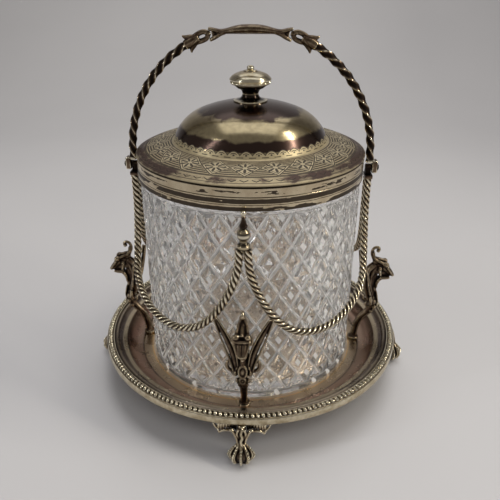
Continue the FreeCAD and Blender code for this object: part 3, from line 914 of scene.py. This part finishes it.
BRACKET_MIDDLE = {
    "spine": [
        (0, 69.9, 16.85, 3.2), (0, 69.9, 18.2, 2.9), (0, 70.0, 20.4, 1.7), (0, 70.3, 26.0, 1.7),
        (0, 72.8, 33.0, 1.8), (0, 77.2, 37.6, 2.0), (0, 80.0, 41.4, 2.2), (0, 81.2, 46.0, 2.5),
        (0, 80.0, 51.5, 2.2), (0, 78.4, 56.0, 1.5), (0, 77.6, 62.0, 1.3), (0, 78.4, 68.0, 2.0),
        (0, 80.8, 72.4, 2.8)],
    "brow_bar": [
        (-4.4, 87.3, 72.6, 0.8), (-2.2, 88.0, 72.9, 0.9), (0, 88.2, 73.0, 0.9),
        (2.2, 88.0, 72.9, 0.9), (4.4, 87.3, 72.6, 0.8)],
    "nose_bar": [(-2.0, 91.3, 66.6, 0.8), (0, 91.9, 66.2, 1.0), (2.0, 91.3, 66.6, 0.8)],
    "horn": [
        (0, 87.2, 75.4, 1.2), (0, 83.6, 76.8, 1.1), (0, 79.8, 77.2, 1.1), (0, 77.6, 79.2, 1.0),
        (0, 77.0, 82.4, 0.95), (0, 78.2, 85.2, 0.95), (0, 80.8, 85.8, 0.95), (0, 82.0, 83.8, 0.9),
        (0, 80.9, 82.2, 0.8)],
}
# Lumps on the middle line: out, up, half sizes, and tilt where there is one
BRACKET_LUMPS = [
    (80.9, 83.2, (1.7, 1.15, 1.15)), (78.4, 62.6, (1.0, 2.9, 7.0), -4),
    (80.2, 63.6, (0.9, 2.6, 5.0), -4), (81.6, 69.6, (2.4, 3.6, 3.0)), (83.0, 73.6, (3.3, 4.0, 2.8)),
    (80.6, 75.8, (2.7, 2.6, 1.9)), (78.0, 78.8, (1.5, 0.9, 2.6), -12),
    (85.2, 68.8, (1.7, 3.2, 3.6)), (88.4, 67.2, (1.4, 2.6, 2.2)),
    (81.9, 57.8, (1.4, 1.0, 1.7), -20), (81.0, 55.2, (1.3, 1.5, 2.8), -6),
    (82.6, 50.0, (1.6, 1.0, 2.6), -12)]
# Lumps in pairs: across, out, up and half sizes
BRACKET_SIDE_LUMPS = [
    (3.0, 86.3, 74.7, (1.9, 1.9, 1.7)), (1.5, 91.2, 66.9, (0.9, 0.9, 0.9)),
    (3.8, 81.0, 47.6, (1.2, 1.3, 1.7)), (3.0, 81.6, 43.4, (1.1, 1.2, 1.5)),
    (2.2, 80.0, 39.4, (0.9, 1.3, 1.2))]


def beast_bracket(material):
    """A bracket that rises from the dish as a horned beast's head, with arms up to the ropes."""
    parts = [stroke(sided(bar, side)) for bar in BRACKET_PAIRS.values() for side in (1, -1)]
    parts += [stroke(bar) for bar in BRACKET_MIDDLE.values()]
    parts += [lump(0, *settings) for settings in BRACKET_LUMPS]
    parts.append(hoop(0, 83.2, 50.2, 2.2, 3.3, 0.55, -12))
    parts.append(hoop(0, 83.5, 44.6, 1.5, 2.2, 0.6, 10))
    parts.append(lump(0, 83.3, 44.6, (0.6, 0.6, 0.9)))
    parts.append(hoop(0, 70.0, 17.9, 3.1, 3.1, 0.7, -90))
    for side in (1, -1):
        parts += [lump(side * across, *settings) for across, *settings in BRACKET_SIDE_LUMPS]
    bracket = casting("beast_bracket", parts, 0.30, 44000)
    place_four(bracket, "beast_bracket", "beast_head", material)


def knob_top(material):
    """The knob's cap, the bead row under its edge and the little button on top."""
    cap = turned("knob_cap_turned", [
        (0.6, 187.1), (11.2, 187.1), (11.75, 187.35), (11.85, 187.7), (11.45, 188.4), (10.5, 189.4),
        (9.2, 190.3), (7.6, 191.0), (5.8, 191.6), (4.4, 191.9), (3.9, 192.0), (3.7, 192.4),
        (2.6, 192.65), (0.6, 192.65)])
    finish_as(cap, "lid", "knob_plate", material, "knob_cap")
    ring = turned("knob_bead_band", [
        (9.6, 184.75), (10.4, 184.9), (10.9, 185.3), (10.9, 186.5), (10.5, 187.0), (9.6, 187.1),
        (9.6, 184.75)])
    bead = lump(0, 10.95, 185.95, (0.50, 0.50, 0.72))
    row = join("knob_bead_row", [ring, repeat_beads(bead, 66)])
    finish_as(row, "lid", "knob_plate", material, "knob_bead_ring")
    button = turned("knob_button_turned", [
        (0.5, 192.6), (1.5, 192.65), (1.95, 193.1), (2.1, 193.6), (1.95, 194.15), (1.5, 194.65),
        (0.9, 194.95), (0.3, 195.05)], around=48)
    finish_as(button, "lid", "knob_plate", material, "knob_button")


def bevelled_block(low, high, chamfer):
    clear_selection()
    middle = [(a + b) / 2 * MM for a, b in zip(low, high)]
    size = [(b - a) * MM for a, b in zip(low, high)]
    bpy.ops.mesh.primitive_cube_add(size=1, location=middle, scale=size)
    block = bpy.context.object
    bpy.ops.object.transform_apply(location=True, rotation=True, scale=True)
    edit(block, "EDGE")
    bpy.ops.mesh.select_all(action="SELECT")
    bpy.ops.mesh.bevel(offset=chamfer * MM, segments=3, affect="EDGES")
    bpy.ops.object.mode_set(mode="OBJECT")
    return block


def handle_ends(material):
    """The ears at the foot of each twisted rod, which hang on the pivot pins."""
    ear = bevelled_block((71.25, -3.0, 135.0), (74.5, 3.0, 142.3), 0.8)
    bridge = bevelled_block((68.0, -2.55, 140.9), (73.0, 2.55, 142.4), 0.4)
    right = settle(join("handle_ear_right", [ear, bridge]))
    finish_handle_pair(right, "handle_ear_left", material, "handle_end")


# The foot's wings, as stroke() takes them: scroll, inner leaf, upper edge and tip
WING_BARS = [
    [(1.8, 97.4, 13.4, 0.8), (2.3, 97.0, 16.4, 0.8), (3.6, 96.4, 19.6, 0.9), (5.2, 96.0, 22.0, 0.9),
     (6.4, 95.4, 21.0, 0.7), (5.6, 95.4, 19.8, 0.6)],
    [(1.4, 96.8, 17.0, 0.7), (2.4, 97.0, 20.0, 0.75), (1.6, 96.8, 22.8, 0.7)],
    [(2.0, 95.2, 15.2, 0.8), (3.4, 94.9, 18.4, 0.75), (6.0, 94.6, 20.2, 0.75),
     (9.0, 94.3, 20.0, 0.75), (11.4, 94.0, 19.0, 0.7), (12.4, 93.7, 17.4, 0.5)],
    [(12.2, 93.8, 17.7, 0.6), (13.0, 93.6, 20.2, 0.65), (14.4, 93.2, 21.2, 0.6),
     (15.6, 92.8, 23.6, 0.5)]]
# Its feathers: across, and the height of the lower end
FEATHERS = [
    (3.4, 19.8), (5.0, 20.8), (6.6, 21.2), (8.2, 21.2), (9.8, 21.0), (11.2, 20.4), (12.6, 21.0)]
# One toe, from the ankle down round the ball: reach from the foot's middle, height
TOE_ROUTE = [(1.7, 13.6), (3.7, 11.2), (5.7, 8.8), (6.5, 6.6), (5.4, 3.8), (3.2, 1.3)]


def claw_foot(material):
    """A claw gripping a ball, under a pair of spread wings that carry the dish."""
    out, heel_turn = 96.6, 180
    parts = []
    beads = []
    for turn in (-76, -38, 0, 38, 76, heel_turn):
        across, forward = math.sin(math.radians(turn)), math.cos(math.radians(turn))
        toe = [(reach * across, out + reach * forward * 0.98, up, 0.85) for reach, up in TOE_ROUTE]
        parts.append(stroke(toe))
        if turn != heel_turn:
            beads += toe_beads(between(toe)[2:-1], out)
    parts.append(lump(0, out, 6.6, (5.0, 5.0, 5.4)))
    parts.append(stroke([(0, out, 1.6, 2.8), (0, out, 0.05, 2.6)]))
    parts.append(stroke([
        (0, 96.4, 12.6, 2.2), (0, 96.0, 15.0, 2.0), (0, 95.2, 18.0, 2.2), (0, 94.4, 21.5, 2.4),
        (0, 94.0, 23.6, 2.2)]))
    parts.append(stroke([
        (0.9, 98.6, 12.6, 0.8), (-0.7, 98.6, 15.4, 0.8), (0.9, 98.0, 18.0, 0.8),
        (-0.7, 97.2, 20.6, 0.85), (0.8, 96.4, 23.0, 0.8)]))
    for side in (1, -1):
        parts += [stroke(sided(bar, side)) for bar in WING_BARS]
        for across, low in FEATHERS:
            feather = [(across, 93.0, low - 0.4, 0.8), (across, 92.8, 23.5, 0.8)]
            parts.append(stroke(sided(feather, side)))
    skin = casting("claw_foot", parts, 0.32, 30000)
    foot = join("claw_foot", [skin] + beads)
    settle(foot, 60)
    place_four(foot, "claw_foot", "claw_and_ball", material)


def toe_beads(toe, out):
    """The row of small beads along the outside of a toe."""
    beads = []
    for across, outwards, up, _ in toe:
        push = 1.0 + 0.95 / max(0.1, math.hypot(across, outwards - out))
        place = (across * push * MM, -(out + (outwards - out) * push) * MM, (up + 0.15) * MM)
        clear_selection()
        bpy.ops.mesh.primitive_ico_sphere_add(subdivisions=2, radius=0.62 * MM, location=place)
        beads.append(bpy.context.object)
    return beads


def leaf_ferrules(material):
    """Fishtail leaf castings between the twisted rods and the grip, each with a pierced eye."""
    def along_arch(*steps):
        """A bar through steps of (degrees along the arch, aside from it, front to back, radius)."""
        points = []
        for along_deg, aside, y, radius in steps:
            a = math.radians(along_deg)
            away = HANDLE_REACH + aside
            points.append((away * math.cos(a), -y, HANDLE_HUB + away * math.sin(a), radius))
        return stroke(points)

    parts = [along_arch((59.4, 0, 0, 2.6), (60.6, 0, 0, 2.8), (62.0, 0, 0, 2.9), (64.0, 0, 0, 2.8),
                        (66.4, 0, 0, 2.2))]
    for side in (1, -1):
        parts.append(along_arch((64.0, side * 1.0, 0, 2.1), (62.4, side * 2.3, 0, 1.8),
                                (61.0, side * 3.6, 0, 1.1), (60.2, side * 5.0, 0, 0.5)))
        parts.append(along_arch((64.4, side * 1.2, 0, 1.7), (66.0, side * 1.9, 0, 1.5),
                                (67.9, side * 2.1, 0, 1.4), (69.6, side * 1.9, 0, 1.4),
                                (70.6, side * 0.8, 0, 1.4)))
        for face in (1, -1):
            parts.append(along_arch(
                (61.0, side * 1.2, face * 1.5, 0.5), (63.2, side * 1.5, face * 2.0, 0.5),
                (65.0, side * 0.6, face * 2.0, 0.5), (66.2, 0, face * 1.7, 0.5)))
    parts.append(along_arch((70.4, 0.2, 0, 1.5), (72.0, 0.1, 0, 1.3)))
    right = casting("leaf_ferrule_right", parts, 0.28, 16000)
    finish_handle_pair(right, "leaf_ferrule_left", material, "handle_ferrule")


# The grip's bars, as stroke() takes them: the middle, and a forked end's two prongs and web
GRIP_MIDDLE = [
    (-16.5, 0, 211.9, 1.4), (-13.0, 0, 212.4, 1.5), (-9.0, 0, 213.0, 2.1), (-5.0, 0, 213.4, 2.5),
    (0, 0, 213.5, 2.6), (5.0, 0, 213.4, 2.5), (9.0, 0, 213.0, 2.1), (13.0, 0, 212.4, 1.5),
    (16.5, 0, 211.9, 1.4)]
UPPER_PRONG = [
    (14.0, 0, 212.3, 1.3), (17.0, 0, 212.3, 1.2), (19.6, 0, 213.0, 1.1), (22.8, 0, 213.7, 0.9)]
LOWER_PRONG = [
    (14.0, 0, 211.9, 1.3), (16.6, 0, 210.9, 1.3), (19.0, 0, 209.3, 1.25), (22.0, 0, 207.7, 0.9)]
FORK_WEB = [(15.0, 0, 212.0, 1.0), (18.0, 0, 211.4, 1.3), (20.8, 0, 210.9, 1.9)]


def grip(material):
    """The plain grip: swelling in the middle, waisted, with open forked ends."""
    widened = [(GRIP_MIDDLE, 1.75)]
    for side in (1, -1):
        for bar, widen in ((UPPER_PRONG, 1.9), (LOWER_PRONG, 1.9), (FORK_WEB, 0.9)):
            widened.append((sided(bar, side), widen))
    parts = []
    for points, widen in widened:
        parts.append(stroke(points))
        only(parts[-1])
        bpy.ops.transform.resize(value=(1, widen, 1), center_override=(0, 0, 0))
    bar = casting("handle_grip_bar", parts, 0.32, 20000)
    finish_as(bar, "handle", "handle_plate", material, "handle_grip")


def place_floor():
    """The pale table, which sweeps up into a backdrop behind the jar, with painted shade darkening
    it towards the far right.
    """
    clear_selection()
    bpy.ops.mesh.primitive_plane_add(size=6, location=(0, 0, -0.0002))
    floor = bpy.context.object
    floor.name = "floor"
    f = Finish("pale_backdrop", Roughness=0.75)
    x, y = f.axes()[0:2]
    # Painted shade: the floor and backdrop darken towards the far right.
    painted_shade_far_right = f.times(f.scaled(x, 4.0, -0.4, clamp=True), f.scaled(y, 3.0, -0.3, clamp=True))
    pale = f.ramp(f.noise(400.0, 2.0), [(0.3, (0.406, 0.396, 0.400)), (0.7, (0.432, 0.421, 0.424))])
    f.colour(f.mix(f.times(painted_shade_far_right, 0.30), pale, (0.27, 0.26, 0.27)))
    floor.data.materials.append(f.material)
    bpy.ops.object.mode_set(mode="EDIT")
    pick_edges(floor, lambda a, b: min(a.co.y, b.co.y) > 2.9)
    bpy.ops.transform.translate(value=(0, -1.3, 0))
    bpy.ops.mesh.extrude_region_move(TRANSFORM_OT_translate={"value": (0, 0, 3)})
    pick_edges(floor, lambda a, b: all(v.co.y > 1.6 and abs(v.co.z) < 0.01 for v in (a, b)))
    bpy.ops.mesh.bevel(offset=1.1, segments=24, affect="EDGES")
    bpy.ops.object.mode_set(mode="OBJECT")
    bpy.ops.object.shade_smooth()
    bpy.ops.object.transform_apply(location=True)


def light_world():
    """A dim warm world, which the camera and the glass see as a pale backdrop."""
    world = bpy.data.worlds.new("studio")
    bpy.context.scene.world = world
    world.use_nodes = True
    tree = world.node_tree
    dim = tree.nodes["Background"]
    dim.inputs["Color"].default_value = (0.66, 0.63, 0.60, 1)
    dim.inputs["Strength"].default_value = 0.26
    backdrop = tree.nodes.new("ShaderNodeBackground")
    backdrop.inputs["Color"].default_value = (0.46, 0.455, 0.46, 1)
    path = tree.nodes.new("ShaderNodeLightPath")
    seen = tree.nodes.new("ShaderNodeMath")
    seen.operation = "MAXIMUM"
    blend = tree.nodes.new("ShaderNodeMixShader")
    for source, socket in (
            (path.outputs["Is Camera Ray"], seen.inputs[0]),
            (path.outputs["Is Transmission Ray"], seen.inputs[1]),
            (seen.outputs[0], blend.inputs[0]),
            (dim.outputs[0], blend.inputs[1]),
            (backdrop.outputs[0], blend.inputs[2]),
            (blend.outputs[0], tree.nodes["World Output"].inputs["Surface"])):
        tree.links.new(source, socket)


def lamp(name, location, size, power, colour=(1, 1, 1), aim_height=0.1, lean_deg=0, glossy=True):
    """An oblong lamp, aimed at a height on the jar's axis; it can be kept out of reflections."""
    bpy.ops.object.light_add(type="AREA", location=location)
    light = bpy.context.object
    light.name = name
    light.data.shape = "RECTANGLE"
    light.data.size, light.data.size_y = size
    light.data.energy = power
    light.data.color = colour
    aim = Vector((0, 0, aim_height)) - Vector(location)
    light.rotation_euler = aim.to_track_quat("-Z", "Y").to_euler()
    light.rotation_euler.rotate_axis("Z", math.radians(lean_deg))
    light.visible_glossy = glossy
    return light


def light_studio():
    """Two strip windows for the highlights, soft fill light, and a sheet of light overhead."""
    light_world()
    lamp("window_right", (0.98, -0.08, 1.05), (0.045, 1.5), 12.0, (1.0, 0.95, 0.84), 1.05, -30)
    lamp("window_left", (-1.0, -0.45, 0.85), (0.035, 1.2), 3.0, (0.96, 0.98, 1.0), 0.85)
    lamp("front_fill", (0.1, -0.9, 1.1), (0.8, 0.5), 4.6, glossy=False)
    lamp("ceiling", (0.15, 0.15, 1.5), (0.9, 0.7), 13.2, glossy=False)
    sheet = lamp("overhead_sheet", (0.0, 0.75, 1.5), (1.3, 1.7), 5.4)
    sheet.rotation_euler = (0, 0, 0)
    bpy.context.scene.view_settings.view_transform = "Standard"


def finish_cad_nodes(finishes):
    """Gives each CAD node that stays its worked finish."""
    for name, material in finishes.items():
        data = nodes[name].data
        data.materials.clear()
        data.materials.append(material)


def main():
    place_camera()
    clear_selection()
    plate = cast_plate()
    dark_plate = cast_plate("cast_plate_dark", 2.6, (0.43, 0.35, 0.23), -0.16)
    black_plate = cast_plate("cast_plate_blackened", 2.6, (0.24, 0.18, 0.12), -0.40)
    rope = rope_plate("rope_plate", SILVER, 0.18)
    twist = rope_plate("twist_plate", (0.46, 0.39, 0.28), 0.16)
    bright = cast_plate("knob_silver", 1.2, (0.50, 0.41, 0.25), 0.16)
    lid = engraved_plate()
    collar = collar_plate()
    brass = plain_brass()
    bead_rim(cast_plate("rim_plate", 1.6, (0.46, 0.385, 0.25), -0.06))
    knob_top(bright)
    beast_bracket(dark_plate)
    claw_foot(plate)
    leaf_ferrules(dark_plate)
    handle_ends(black_plate)
    grip(dark_plate)
    rope_swags(rope)
    handle_rods(twist)
    cut_glass_jar(cut_crystal())
    stay = {"dish": dish_plate(), "bracket_nuts": brass, "collar_band": collar,
            "collar_cement": plaster(), "lid_shell": lid, "lid_bezel": plate, "knob_stud": brass,
            "knob_nut": brass}
    stay["finial_front"] = stay["finial_back"] = finial_plate()
    stay["knob_base"] = stay["knob_cup"] = neck_plate()
    pivot_plate = cast_plate("cast_plate_pivot", 2.6, (0.24, 0.18, 0.12), -1.3)
    for name in ("pivot_post_left", "pivot_post_right", "pivot_pin_left", "pivot_pin_right"):
        stay[name] = pivot_plate
    finish_cad_nodes(stay)
    place_floor()
    light_studio()


main()
